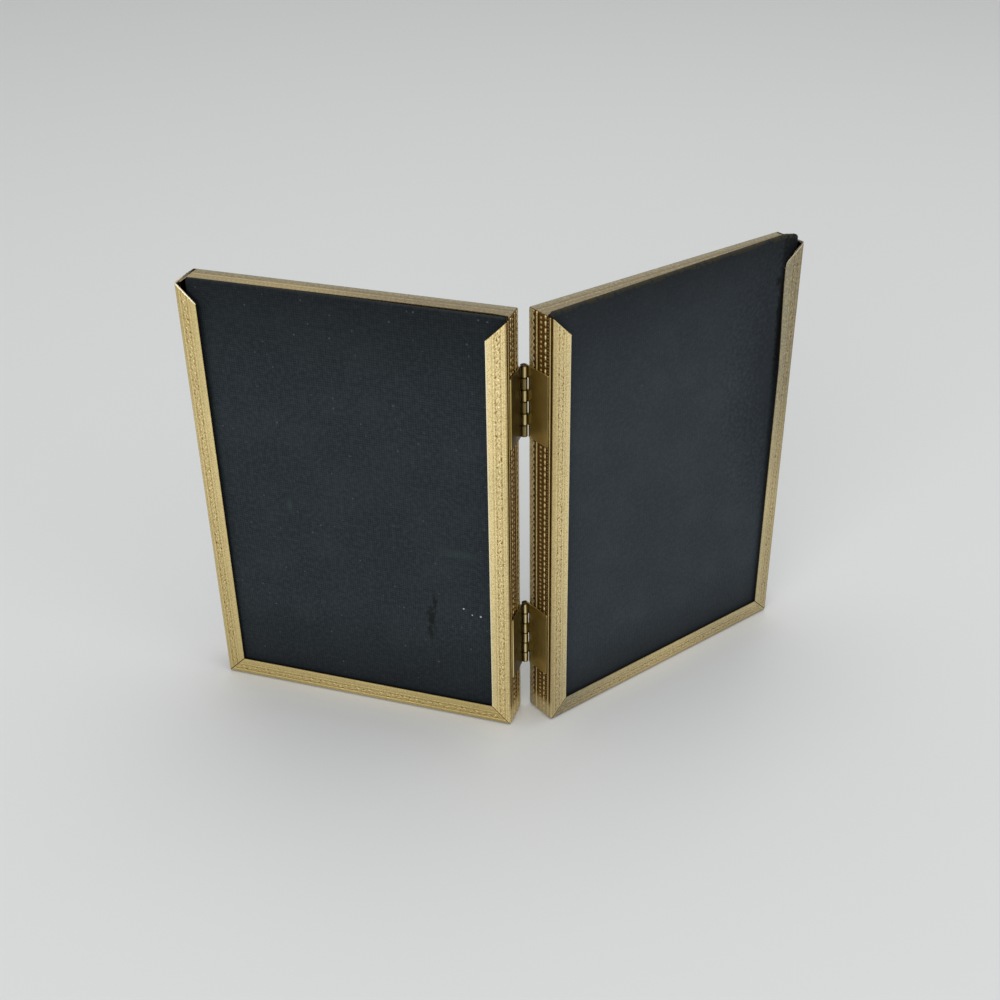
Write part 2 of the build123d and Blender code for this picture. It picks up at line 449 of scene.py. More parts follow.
@dataclass(frozen=True)
class BlackCloth(Finish):
    """Plain-woven cotton cloth, dyed black and glued down: matt blue-black with a fine square weave.

    It is dusty in faint patches, painted darker towards its top and foot as shade, flecked with lint,
    spotted with old marks and with painted shade, and worn through to the card along a bare edge.
    """

    name: str = "black_cotton_cloth_woven"
    thread: str = "#2E3639"
    shade: str = "#1F2529"
    dust: str = "#3A4245"
    card: str = "#302D20"
    # Painted shade towards the cloth's top and foot
    fresh: str = "#0B0D0F"
    fluff: str = "#8794A0"
    marks: tuple[Mark, ...] = ()
    uv_mm: float = 200.0
    # The threads are about 0.35 mm apart; they are drawn at 0.7 mm so that the weave shows.
    thread_mm: float = 0.7
    thread_depth: float = 0.08
    dust_mm: float = 16.0
    grit_mm: float = 1.2
    top_mm: float = 132.0
    # How far the painted shade reaches down from the top and up from the foot
    fresh_top_mm: float = 42.0
    fresh_foot_mm: float = 30.0
    lint: float = 0.2
    lint_mm: float = 3.5

    def inputs(self, tree: bpy.types.NodeTree) -> dict[str, object]:
        """Lay out the nodes.

        Args:
            tree: The material's node tree.

        Returns:
            Inputs of matt cloth on the piece's own flat map: two sets of uneven threads cross, dust dulls
            them in patches, painted shade darkens them towards the top and foot, lint and marks lie on them,
            some of the marks being painted shade, and the stored bare values, broken by noise, uncover the card.
        """
        flat = add_node(tree, "TexCoord").outputs["UV"]
        height = add_node(tree, "SeparateXYZ", {0: flat}).outputs["Y"]
        bare = add_node(tree, "Attribute", attribute_name="bare").outputs["Fac"]
        # A wave texture repeats 20 / (2 pi) times over each unit of its scale.
        threads = self.uv_mm / self.thread_mm * 2 * math.pi / 20
        waves = {"Vector": flat, "Scale": threads, "Distortion": 1.6, "Detail": 2.0, "Detail Scale": 1.7}
        warp, weft = (
            add_node(tree, "TexWave", waves, bands_direction=direction).outputs["Fac"] for direction in "XY"
        )
        dusty = {"Vector": flat, "Scale": self.uv_mm / self.dust_mm, "Detail": 6.0, "Roughness": 0.65}
        gritty = {"Vector": flat, "Scale": self.uv_mm / self.grit_mm, "Detail": 3.0}
        dust, grit = (add_node(tree, "TexNoise", noise) for noise in (dusty, gritty))
        spread = {"Vector": flat, "Scale": self.uv_mm / self.lint_mm}
        cells = add_node(tree, "TexVoronoi", spread, voronoi_dimensions="2D")
        # Painted shade darkens the cloth near its top and foot
        shade_from, top = (self.top_mm - self.fresh_top_mm) / self.uv_mm, self.top_mm / self.uv_mm
        slubs, dusted, up, down, fleck, caught = (
            add_node(tree, "MapRange", dict(zip(RAMP, row)))
            for row in (
                (grit, 0.35, 0.65, -0.35, 0.45),
                (dust, 0.45, 0.85, 0.0, 0.3),
                (height, shade_from, top, 0.0, 0.78),
                (height, self.fresh_foot_mm / self.uv_mm, 0.0, 0.0, 0.65),
                (cells, 0.1, 0.03, 0.0, self.lint),
                (cells.outputs["Color"], 0.68, 0.9),
            )
        )
        weave = add_node(tree, "Math", {0: warp, 1: weft}, operation="MULTIPLY")
        uneven, kept, linty, torn = (
            add_node(tree, "Math", dict(enumerate(values)), operation=operation)
            for operation, *values in (
                ("ADD", weave, slubs),
                ("MULTIPLY_ADD", up, up, down),
                ("MULTIPLY", fleck, caught),
                ("ADD", grit, bare),
            )
        )
        # kept is the painted shade near the top and foot
        layers = [(uneven, self.thread), (dusted, self.dust), (kept, self.fresh), (linty, self.fluff)]
        for mark in self.marks:
            size = {
                "Vector": flat,
                "Location": (mark.s / self.uv_mm, mark.z / self.uv_mm, 0.0),
                "Scale": (mark.wide / self.uv_mm, mark.high / self.uv_mm, 1.0),
            }
            centred = add_node(tree, "Mapping", size, vector_type="TEXTURE")
            far = add_node(tree, "VectorMath", {0: centred}, operation="LENGTH")
            ragged = add_node(tree, "Math", {0: grit, 1: 1.2, 2: far}, operation="MULTIPLY_ADD")
            spot = add_node(tree, "MapRange", dict(zip(RAMP, (ragged, 1.7, 1.0, 0.0, mark.share))))
            layers.append((spot, mark.colour))
        layers.append((add_node(tree, "MapRange", dict(zip(RAMP, (torn, 1.35, 1.55)))), self.card))
        colour = self.shade
        for amount, code in layers:
            colour = add_node(tree, "Mix", {"Factor": amount, "A": colour, "B": code}, data_type="RGBA")
        bump = add_node(tree, "Bump", {"Height": weave, "Strength": 0.2, "Distance": self.thread_depth * MM})
        return {
            "Base Color": colour,
            "Roughness": 0.82,
            "Specular IOR Level": 0.1,
            "Sheen Weight": 0.03,
            "Sheen Roughness": 0.5,
            "Normal": bump,
        }


@dataclass(frozen=True)
class CardStock(Finish):
    """Pressed paper board: matt, with short fibres that fleck it lighter and darker."""

    pale: str
    dark: str
    fibre_mm: float = 0.8
    roughness: float = 0.85
    fibre_depth: float = 0.05

    def inputs(self, tree: bpy.types.NodeTree) -> dict[str, object]:
        """Lay out the nodes.

        Args:
            tree: The material's node tree.

        Returns:
            Inputs of matt board, flecked by noise drawn out sideways.
        """
        place = add_node(tree, "TexCoord").outputs["Object"]
        drawn = add_node(tree, "Mapping", {"Vector": place, "Scale": (1.0, 1.0, 3.0)}, vector_type="POINT")
        short = {"Vector": drawn, "Scale": 1 / (self.fibre_mm * MM), "Detail": 4.0}
        fibres = add_node(tree, "TexNoise", short)
        share = add_node(tree, "MapRange", dict(zip(RAMP, (fibres, 0.35, 0.7))))
        colour = add_node(tree, "Mix", {"Factor": share, "A": self.pale, "B": self.dark}, data_type="RGBA")
        bump = add_node(tree, "Bump", {"Height": fibres, "Strength": 0.2, "Distance": self.fibre_depth * MM})
        return {"Base Color": colour, "Roughness": self.roughness, "Specular IOR Level": 0.3, "Normal": bump}


@dataclass(frozen=True)
class FloatGlass(Finish):
    """Thin float glass, cut and arrised: clear and polished, faintly green, with a film of dust."""

    name: str = "float_glass_polished"
    tint: str = "#F1F7F4"
    smear_mm: float = 22.0

    def inputs(self, tree: bpy.types.NodeTree) -> dict[str, object]:
        """Lay out the nodes.

        Args:
            tree: The material's node tree.

        Returns:
            Inputs of clear glass whose polish is broken a little by smears.
        """
        place = add_node(tree, "TexCoord").outputs["Object"]
        smudged = {"Vector": place, "Scale": 1 / (self.smear_mm * MM), "Detail": 5.0}
        smears = add_node(tree, "TexNoise", smudged)
        gloss = add_node(tree, "MapRange", dict(zip(RAMP, (smears, 0.45, 0.75, 0.01, 0.07))))
        return {"Base Color": self.tint, "Roughness": gloss, "IOR": 1.52, "Transmission Weight": 1.0}


@dataclass(frozen=True)
class SatinLaminate(Finish):
    """Laminated board, pressed satin: pale and plain, with a faint mottle in its shine."""

    name: str = "white_laminate_satin"
    pale: str = "#D5D7D7"
    mottle_mm: float = 1000.0 / 9.0

    def inputs(self, tree: bpy.types.NodeTree) -> dict[str, object]:
        """Lay out the nodes.

        Args:
            tree: The material's node tree.

        Returns:
            Inputs of a plain board whose shine varies a little.
        """
        place = add_node(tree, "TexCoord").outputs["Object"]
        clouds = {"Vector": place, "Scale": 1 / (self.mottle_mm * MM), "Detail": 3.0}
        mottle = add_node(tree, "TexNoise", clouds)
        gloss = add_node(tree, "MapRange", dict(zip(RAMP, (mottle, 0.0, 1.0, 0.42, 0.58))))
        return {"Base Color": self.pale, "Roughness": gloss, "Specular IOR Level": 0.3}


@dataclass(frozen=True)
class Ridge:
    """A half-round line of the ornament: where its middle runs, half its width and its height."""

    at: float
    half: float
    height: float

    def over(self, x: Array, sway: Array | float = 0.0) -> Array:
        """Height over x, where the line's middle sways aside by so much."""
        return self.height * half_round((x - self.at - sway) / self.half)


@dataclass(frozen=True)
class BeadRow:
    """A row of small domes: where it runs, their pitch, half their length and width, and their height."""

    at: float
    pitch: float
    long: float
    wide: float
    height: float

    def over(self, x: Array, a: Array) -> Array:
        """Height over x, at distances a along the row."""
        from_middle = np.hypot(from_nearest(a, self.pitch) / self.long, (x - self.at) / self.wide)
        return self.height * half_round(from_middle)


@dataclass(frozen=True)
class Embossing:
    """Rolled ornament of the brass strip, as heights in millimetres over its faces.

    The web carries, from front to back, a stippled band, a wavy line, a smooth ridge, a row of beads, a
    chain of long beads, a row of dots and an edge ridge. A flange carries a running vine between two
    half-round lines, and its edge is rounded off. The stem's height is a share of the vine's.
    """

    wave: Ridge = Ridge(2.15, 0.32, 0.184)
    wave_pitch: float = 1.95
    wave_sway: float = 0.25
    ridge: Ridge = Ridge(3.75, 0.34, 0.23)
    beads: BeadRow = BeadRow(5.45, 1.36, 0.38, 0.4, 0.16)
    chain: Ridge = Ridge(7.3, 0.35, 0.2645)
    dots: BeadRow = BeadRow(8.4, 0.9, 0.3, 0.38, 0.06)
    edge: Ridge = Ridge(9.3, 0.27, 0.161)
    line: Ridge = Ridge(1.2, 0.22, 0.09)
    vine_pitch: float = 3.9
    vine_height: float = 0.13
    stem: Ridge = Ridge(2.4, 0.18, 0.6)
    stem_sway: float = 0.5
    leaf_half: tuple[float, float] = (0.7, 0.38)
    berry_at: tuple[float, float] = (0.95, 0.32)
    berry_radius: float = 0.26
    rope: Ridge = Ridge(3.6, 0.24, 0.1)
    edge_drop: float = 0.06
    # Depth of the pits anywhere, and what the stippled band and the vine add to it
    pit_depth: float = 0.02
    band_pits: float = 0.11
    vine_pits: float = 0.1
    # Brown of the stippled band and of the low rows, less among the beads and more in the last groove
    band_stain: float = 0.03
    row_stain: float = 0.78
    bead_stain: float = -0.16
    groove_stain: float = 0.1
    stain_height: float = 0.09

    def web(self, t: Array, a: Array) -> Array:
        """Height over the web.

        The wavy line's middle follows a sine along a, and the chain swells and shrinks with the same sine.

        Args:
            t: Distances backwards from the frame's front.
            a: Distances along the strip.

        Returns:
            Heights, highest at the ridges.
        """
        t, a = np.broadcast_arrays(t, a)
        turn = np.sin(2 * np.pi * a / self.wave_pitch)
        rows = [
            self.wave.over(t, self.wave_sway * turn),
            self.ridge.over(t),
            self.beads.over(t, a),
            self.chain.over(t) * (0.55 + 0.45 * turn),
            self.dots.over(t, a),
            self.edge.over(t),
        ]
        return np.maximum.reduce(rows)

    def flange(self, v: Array, a: Array) -> Array:
        """Height over a flange.

        The vine's stem is a half-round line along a sine. A leaf, a leaning ellipse, fills each bend on the
        inside of the curve, and a berry, a small dome, sits opposite each leaf.

        Args:
            v: Distances from the fold.
            a: Distances along the strip.

        Returns:
            Heights, highest at the half-round line and the vine.
        """
        v, a = np.broadcast_arrays(v, a)
        phase = 2 * np.pi * a / self.vine_pitch
        motifs = [self.stem.over(v, self.stem_sway * np.sin(phase))]
        long, wide = self.leaf_half
        berry_along, berry_across = self.berry_at
        for turn, sign in ((0.25, 1.0), (0.75, -1.0)):
            along = from_nearest(a, self.vine_pitch, turn * self.vine_pitch)
            across = (v - self.stem.at + 0.2 * sign) * sign
            leaf = np.hypot((along + 0.5 * across) / long, across / wide)
            berry = np.hypot(along - berry_along, across - berry_across) / self.berry_radius
            motifs += [half_round(leaf), 0.8 * half_round(berry)]
        vine = self.vine_height * np.maximum.reduce(motifs)
        rope = self.rope.over(v) * (0.7 + 0.3 * np.sin(2.9 * phase))
        rounded_off = self.edge_drop * smooth_step(v, SIZES.flange - 0.6, SIZES.flange)
        return np.maximum.reduce([self.line.over(v), vine, rope]) - rounded_off

    def pits(self, t: Array, v: Array, shape: tuple[int, int], seed: int) -> Array:
        """Depth of small random pits, deepest in the web's stippled band and the flanges' vine.

        Args:
            t: Distances backwards from the frame's front.
            v: Distances from the web's outer face.
            shape: Size of the grid of points.
            seed: Start of the random numbers.

        Returns:
            Depths from 0, as smoothed noise above its mean.
        """
        noise = np.clip(box_blur(np.random.default_rng(seed).standard_normal(shape), 1), 0.0, None)
        on_web = v < 0.1
        band = smooth_step(t, 0.4, 0.7) * smooth_step(t, 2.0, 1.8)
        vine = smooth_step(np.abs(v - self.stem.at), 1.05, 0.8)
        return noise * (self.pit_depth + np.where(on_web, self.band_pits * band, self.vine_pits * vine))

    def stain(self, t: Array, height: Array) -> Array:
        """Brown that the web's low rows hold, from 0 to 1, before the hollows between motifs are added."""
        band = self.band_stain * smooth_step(t, 0.6, 1.4)
        bead_row = smooth_step(np.abs(t - self.beads.at), 1.4, 1.1)
        groove = smooth_step(t, self.edge.at + 0.1, self.edge.at + 0.4)
        rows = self.row_stain + self.bead_stain * bead_row + self.groove_stain * groove
        rows = rows * smooth_step(t, self.wave.at - 0.25, self.wave.at + 0.25)
        rows = rows * smooth_step(t, SIZES.depth - 0.55, SIZES.depth - 0.75)
        return (band + rows) * np.clip(1.0 - height / self.stain_height, 0.0, 1.0)


@dataclass(frozen=True)
class StripSection:
    """Points round the strip's section: places, outward directions, and which face each is on.

    The outer run goes down the front flange, round the fold, over the web, round the other fold and up the
    back flange; the inner run comes back inside it, a sheet's thickness away.
    """

    flange_points: int = 32
    fold_points: int = 5
    web_points: int = 60
    fold: float = 0.6
    ease: float = 0.12

    def outer(self) -> tuple[Array, Array]:
        """Lay out the outer run.

        Returns:
            Places (t, y) with y measured into the channel, and directions (t, y) out of the strip.
        """
        d, r, f = SIZES.depth, self.fold, SIZES.flange
        up = np.linspace(r, f, self.flange_points)[::-1]
        turn = np.linspace(0.0, np.pi / 2, self.fold_points + 2)[1:-1]
        bent = np.stack([np.cos(turn), np.sin(turn)], axis=1)
        front = np.concatenate([np.stack([0 * up, up], axis=1), r - r * bent])
        out = np.concatenate([np.tile([-1.0, 0.0], (len(up), 1)), -bent])
        web = np.stack([np.linspace(r, d - r, self.web_points), np.zeros(self.web_points)], axis=1)
        mirror = np.array([-1.0, 1.0])
        places = np.concatenate([front, web, front[::-1] * mirror + [d, 0.0]])
        directions = np.concatenate([out, np.tile([0.0, -1.0], (len(web), 1)), out[::-1] * mirror])
        return places, directions

    def inner(self) -> Array:
        """Lay out the inner run, from the back flange's edge to the front flange's, with eased corners."""
        d, w, f, e = SIZES.depth, SIZES.sheet, SIZES.flange, self.ease
        half = [(w, f), (w, f / 2), (w, w + e), (w + e, w)]
        rear = [(d - t, y) for t, y in half]
        return np.array(rear + half[::-1])


@dataclass
class EmbossedChannel:
    """One side of a frame: the embossed strip bent to a channel and mitred at both ends.

    A span is a pair of distances from an end or edge, between which a change comes in. The tarnish says how
    grey the side has gone, or how yellow if less than 0, at even steps from its first corner to its last.
    The stiles and rails run down, outwards, up and inwards.
    """

    side: Side
    member: Member
    finish: bpy.types.Material
    embossing: Embossing = Embossing()
    section: StripSection = StripSection()
    spacing: float = 0.205
    seam: float = 0.05
    seam_round: float = 0.3
    seam_sink: float = 0.1
    worn_corner: float = 4.0
    wear: float = 0.0
    wear_flattens: float = 0.85
    wear_cleans: float = 0.9
    tarnish: tuple[float, ...] = (0.0,)
    # A painted highlight along the back flange's edge
    edge_rub: float = 0.0
    grey_band: float = 0.55
    fold_stain: float = 0.27
    stain_reach: float = 0.7
    # A painted reflection of the floor, brightening the web near its foot
    foot_rub: float = 0.0
    # A painted highlight at the back flange's mitred ends
    end_rub: float = 0.0
    seam_stain: float = 0.9
    pressed: float = 0.0
    foot_span: tuple[float, float] = (7.0, 4.0)
    band_span: tuple[float, float] = (1.5, 4.0)
    edge_span: tuple[float, float] = (0.45, 0.25)
    end_span: tuple[float, float] = (0.12, 0.4)
    press_span: tuple[float, float] = (42.0, 7.0)
    press_curve: float = 1.3
    low_depths: tuple[float, float] = (0.07, 0.15)
    near_mitre: tuple[float, ...] = (0.0, 0.07, 0.15, 0.25, 0.38, 0.54)

    @property
    def length(self) -> float:
        """Length over the mitres' outer points."""
        return SIZES.height if self.member in (Member.INNER_STILE, Member.OUTER_STILE) else SIZES.width

    @property
    def node(self) -> str:
        """Name of the solid that the strip stands for."""
        return f"{self.side.label}_{self.member.value}"

    def stations(self) -> Array:
        """Shares of the length at which the section is drawn, closer together beside the mitres."""
        near = np.array(self.near_mitre)
        count = round((self.length - 2 * near[-1]) / self.spacing)
        body = np.linspace(near[-1], self.length - near[-1], count)[1:-1]
        return np.concatenate([near, body, self.length - near[::-1]]) / self.length

    def ends(self, t: Array, y: Array) -> tuple[Array, Array]:
        """Find where the strip starts and ends at each point of its section.

        A mitre at 45 degrees cuts as much off the length as the point lies inside the outer face. A pressed
        back flange has lost its point: there the end follows an arc.

        Args:
            t: Distances backwards of the points.
            y: Distances of the points into the channel.

        Returns:
            Starts and ends along the strip.
        """
        start = y + self.seam
        end = self.length - y - self.seam
        if self.pressed:
            r = self.worn_corner
            foot = r * math.tan(math.pi / 8)
            arc = half_round((y - SIZES.flange + r) / r) * r
            worn = self.length - SIZES.flange - foot + arc
            beyond = (t > SIZES.depth / 2) & (y > SIZES.flange - foot / math.sqrt(2))
            end = np.where(beyond, np.minimum(end, worn), end)
        return start, end

    def along(self, t: Array, y: Array, share: Array) -> Array:
        """Places along the strip: start + (end - start) * share at each point of the section."""
        start, end = self.ends(t, y)
        return start + (end - start) * share[:, None]

    def raised(
        self, t: Array, y: Array, along: Array, directions: Array, left: Array | float = 1.0
    ) -> tuple[Array, Array, Array]:
        """Raise the ornament on the outer run.

        Every point moves out along its direction by the ornament's height, less a rounding beside the
        mitres.

        Args:
            t: Distances backwards of the plain points.
            y: Their distances into the channel.
            along: Their places along the strip.
            directions: Which way is out of the strip at each point of the section.
            left: Share of the height that is left beside a trimmed edge.

        Returns:
            Grids of t, y and the brown of the hollows.
        """
        out_t, out_y = directions[None, :, 0], directions[None, :, 1]
        on_web = out_y < -0.999
        height = np.where(on_web, (1.0 - self.wear_flattens * self.wear) * self.embossing.web(t, along), 0.0)
        height = np.where(np.abs(out_t) > 0.999, self.embossing.flange(y, along), height)
        height = height - self.embossing.pits(t, y, height.shape, sum(map(ord, self.node)))
        start, end = self.ends(t, y)
        to_seam = np.minimum(along - start, end - along) / self.seam_round
        sunk = self.seam_sink * np.clip(1.0 - to_seam, 0.0, None) ** 2
        height = height * smooth_step(to_seam, 0.0, 1.5) * left - sunk
        hollow = self.hollows(t, y, height, on_web, to_seam)
        return t + out_t * height, y + out_y * height, hollow

    def shape(self, share: Array) -> tuple[Array, Array, Array, Array]:
        """Carry the section along the strip.

        Args:
            share: Shares of the length, one for each station.

        Returns:
            Grids of t, y, places along, and brown: patina in the hollows, painted shade inside the channel.
        """
        places, directions = self.section.outer()
        t, y = places[None, :, 0], places[None, :, 1]
        t, y, hollow = self.raised(t, y, self.along(t, y, share), directions)
        inner = self.section.inner()
        rows = (len(share), 1)
        t = np.concatenate([t, np.tile(inner[:, 0], rows)], axis=1)
        y = np.concatenate([y, np.tile(inner[:, 1], rows)], axis=1)
        along = self.along(t, y, share)
        t = t - self.press(t, y, along)
        # The inner run, inside the channel, is painted near black as shade
        hollow = np.concatenate([hollow, np.ones((len(share), len(inner)))], axis=1)
        return t, y, along, hollow

    def hollows(self, t: Array, y: Array, height: Array, on_web: Array, to_seam: Array) -> Array:
        """Brown of the low places: under their surroundings, in the web's low rows, at folds and mitres.

        Args:
            t: Distances backwards.
            y: Distances into the channel.
            height: Heights of the ornament.
            on_web: Which points are on the web.
            to_seam: Distances from the mitres, over the width of their rounding.

        Returns:
            Values from 0, bright, to 1, brown.
        """
        deep = np.where(on_web & (t > self.embossing.wave.at), *self.low_depths)
        below = (box_blur(height, 3) - height) / deep
        fold = self.fold_stain * (1.0 - smooth_step(y, 0.1, self.stain_reach))
        stain = np.where(on_web, self.embossing.stain(t, height), fold)
        seam = self.seam_stain * np.clip(1.0 - 1.4 * to_seam, 0.0, None)
        held = np.maximum(below, stain) * (1.0 - self.wear_cleans * self.wear)
        return np.clip(np.maximum(held, seam), 0.0, 1.0)

    def press(self, t: Array, y: Array, along: Array) -> Array:
        """How far the back flange is bent in towards the board: most at its edge, and near the strip's end.

        Args:
            t: Distances backwards.
            y: Distances into the channel.
            along: Distances along the strip.

        Returns:
            Millimetres forwards.
        """
        lean = (np.clip(y, 0.0, SIZES.flange) / SIZES.flange) ** self.press_curve
        near_end = smooth_step(along, *(self.length - reach for reach in self.press_span))
        return np.where(t > SIZES.depth / 2, self.pressed * lean * near_end, 0.0)

    def place(self, t: Array, y: Array, along: Array) -> Array:
        """Set the strip in its place on the frame: up, down or across from one corner.

        Args:
            t: Distances backwards.
            y: Distances into the channel.
            along: Distances along the strip from its first corner.

        Returns:
            Points in metres.
        """
        s, z = {
            Member.INNER_STILE: (SIZES.inner_face + y, SIZES.top_face - along),
            Member.BOTTOM_RAIL: (SIZES.inner_face + along, SIZES.base_face + y),
            Member.OUTER_STILE: (SIZES.outer_face - y, SIZES.base_face + along),
            Member.TOP_RAIL: (SIZES.outer_face - along, SIZES.top_face - y),
        }[self.member]
        return SIZES.world(self.side, s, t, z)

    def build(self) -> bpy.types.Object:
        """Build the strip, dress it and hang it on its frame.

        Returns:
            The finished piece.
        """
        share = self.stations()
        t, y, along, hollow = self.shape(share)
        rows, columns = t.shape
        ring = np.arange(columns)[None, :]
        groups = [grid_faces(rows, columns), ring[:, ::-1], ring + (rows - 1) * columns]
        points = self.place(t, y, along).reshape(-1, 3)
        on_web = y < SIZES.sheet / 2
        # Near its foot the web is painted brighter: a painted reflection of the floor
        foot = smooth_step(along, *(self.length - reach for reach in self.foot_span)) * on_web
        values = (hollow * (1.0 - self.foot_rub * foot)).ravel()
        points, groups, values = self.finish_shape(points, groups, values)
        piece = add_piece(f"{self.node}_strip", points, groups)
        stops = np.linspace(0.0, 1.0, len(self.tarnish))
        grey = np.interp(np.arange(len(points)) / t.size, stops, self.tarnish)
        band = on_web * (1.0 - smooth_step(t, *self.band_span))
        grey[: t.size] += self.grey_band * band.ravel()
        # Painted highlights along the back flange's edge and at its mitred ends
        rubbed = np.zeros(len(points))
        at_edge = smooth_step(y, *(SIZES.flange - reach for reach in self.edge_span))
        at_end = 1.0 - smooth_step(self.ends(t, y)[1] - along, *self.end_span)
        painted_light = np.maximum(self.edge_rub * at_edge, self.end_rub * at_end)
        rubbed[: t.size] = (painted_light * (t > SIZES.depth / 2)).ravel()
        stored = {"hollow": values, "tarnish": np.clip(grey, -1.0, 1.0), "rubbed": rubbed}
        for name, numbers in stored.items():
            set_point_values(piece, name, numbers)
        piece.data.materials.append(self.finish)
        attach(piece, f"{self.side.label}_frame")
        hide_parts(self.node)
        return piece

    def finish_shape(
        self, points: Array, groups: list[Array], values: Array
    ) -> tuple[Array, list[Array], Array]:
        """Leave the points, faces and hollow values as they are: this side has no more to it."""
        return points, groups, values


@dataclass
class TopRail(EmbossedChannel):
    """The top rail: no back flange, a web trimmed by hand, and a tab bent down inside the outer stile."""

    rears: tuple[float, float, float] = (6.6, 6.1, 6.7)
    rear_corner: float = 8.2
    wear: float = 0.75
    corner_length: float = 5.0
    end_gap: float = 1.15
    fixed_to: float = 4.35
    cut_points: int = 14
    trim_round: float = 0.25
    tab_drop: float = 4.45
    tab_depth: float = 9.75
    tab_ease: float = 0.08
    tab_inset: float = 0.25
    tab_bend: float = 0.1
    # How much painted shade the tab's top bend keeps; below it the tab is all painted shade
    tab_stain: float = 0.2

    def rear(self, along: Array) -> Array:
        """Rear edge of the web: straight, then out in a sweep to the inner corner."""
        s = SIZES.outer_face - along
        knots = [
            SIZES.inner_face,
            SIZES.insert_inner,
            SIZES.inner_face + self.corner_length,
            SIZES.outer_face - self.end_gap,
        ]
        return np.interp(s, knots, [self.rear_corner, *self.rears])

    def ends(self, t: Array, y: Array) -> tuple[Array, Array]:
        """Find where the rail starts and ends: mitred, but behind its front short of the outer stile."""
        start, end = super().ends(t, y)
        web_start = self.end_gap * smooth_step(t, SIZES.sheet, SIZES.sheet + 0.1)
        return np.maximum(start, web_start), end

    def shape(self, share: Array) -> tuple[Array, Array, Array, Array]:
        """Carry the front flange, the fold and the trimmed web along the rail.

        Web points behind the smooth ridge are spread evenly from there to the trimmed rear edge.

        Args:
            share: Shares of the length, one for each station.

        Returns:
            Grids of t, y, places along, and brown: patina in the hollows, painted shade inside the channel.
        """
        places, directions = self.section.outer()
        kept = len(places) - self.section.flange_points - self.section.fold_points - self.cut_points
        places, directions = places[:kept], directions[:kept]
        t, y = places[None, :, 0], places[None, :, 1]
        along = self.along(t, y, share)
        spread = np.clip((t - self.fixed_to) / (places[-1, 0] - self.fixed_to), 0.0, 1.0)
        t = np.where(spread > 0, self.fixed_to + (self.rear(along) - self.fixed_to) * spread, t)
        on_web = directions[None, :, 1] < -0.999
        to_trim = np.where(on_web, (self.rear(along) - t) / self.trim_round, 1.0)
        t, y, hollow = self.raised(t, y, along, directions, smooth_step(to_trim, 0.0, 1.0))
        w, f, e = SIZES.sheet, SIZES.flange, self.section.ease
        inner_t = np.array([[0.0, 0.0, 0.0, w + e, w, w, w]])
        inner_y = np.tile([w, w, w, w, w + e, f / 2, f], (len(share), 1))
        # How far each point of the inside follows the trimmed edge
        follow = np.array([1.0, 0.6, 0.3, 0.0, 0.0, 0.0, 0.0])
        inner_along = self.along(np.where(follow > 0, SIZES.depth / 2, inner_t), inner_y, share)
        trimmed = (w + e) + (self.rear(inner_along) - w - e) * follow
        inner_t = np.where(follow > 0, trimmed, inner_t)
        along = np.concatenate([self.along(t, y, share), inner_along], axis=1)
        t = np.concatenate([t, inner_t], axis=1)
        y = np.concatenate([y, inner_y], axis=1)
        # The inner run, inside the channel, is painted near black as shade
        hollow = np.concatenate([hollow, np.ones(inner_t.shape)], axis=1)
        return t, y, along, hollow

    def finish_shape(
        self, points: Array, groups: list[Array], values: Array
    ) -> tuple[Array, list[Array], Array]:
        """Add the tab: a plate with rounded edges that hangs from the web's outer end, painted dark as shade.

        Args:
            points: The strip's points in metres.
            groups: Its faces.
            values: Its hollow values.

        Returns:
            Points, faces and hollow values of the strip and the tab together.
        """
        low, high = SIZES.top_face - self.tab_drop, SIZES.top_face
        near, far = SIZES.sheet, SIZES.sheet + self.tab_depth
        corners = np.array([(near, low), (far, low), (far, high), (near, high)])
        plate = Plate(corners, corner=0.3, spacing=2.0)
        profile = eased_edge(SIZES.sheet, self.tab_ease, self.tab_inset)
        flat, rise, faces = plate.rings(profile, close=(True, True))
        s = SIZES.outer_face - self.end_gap - SIZES.sheet + rise
        tab = SIZES.world(self.side, s, flat[:, 0], flat[:, 1])
        faces = [group + len(points) for group in faces]
        # The tab is painted near black as shade, less along its top bend
        brown = np.where(flat[:, 1] > high - self.tab_bend, self.tab_stain, 1.0)
        return np.concatenate([points, tab]), groups + faces, np.concatenate([values, brown])


def eased_edge(thick: float, ease: float, inset: float) -> Array:
    """Insets and heights of rings over the edge of a plate whose two arrises are eased."""
    front = [(inset, 0.0), (ease, 0.0), (0.0, ease)]
    return np.array(front + [(inside, thick - rise) for inside, rise in front[::-1]])


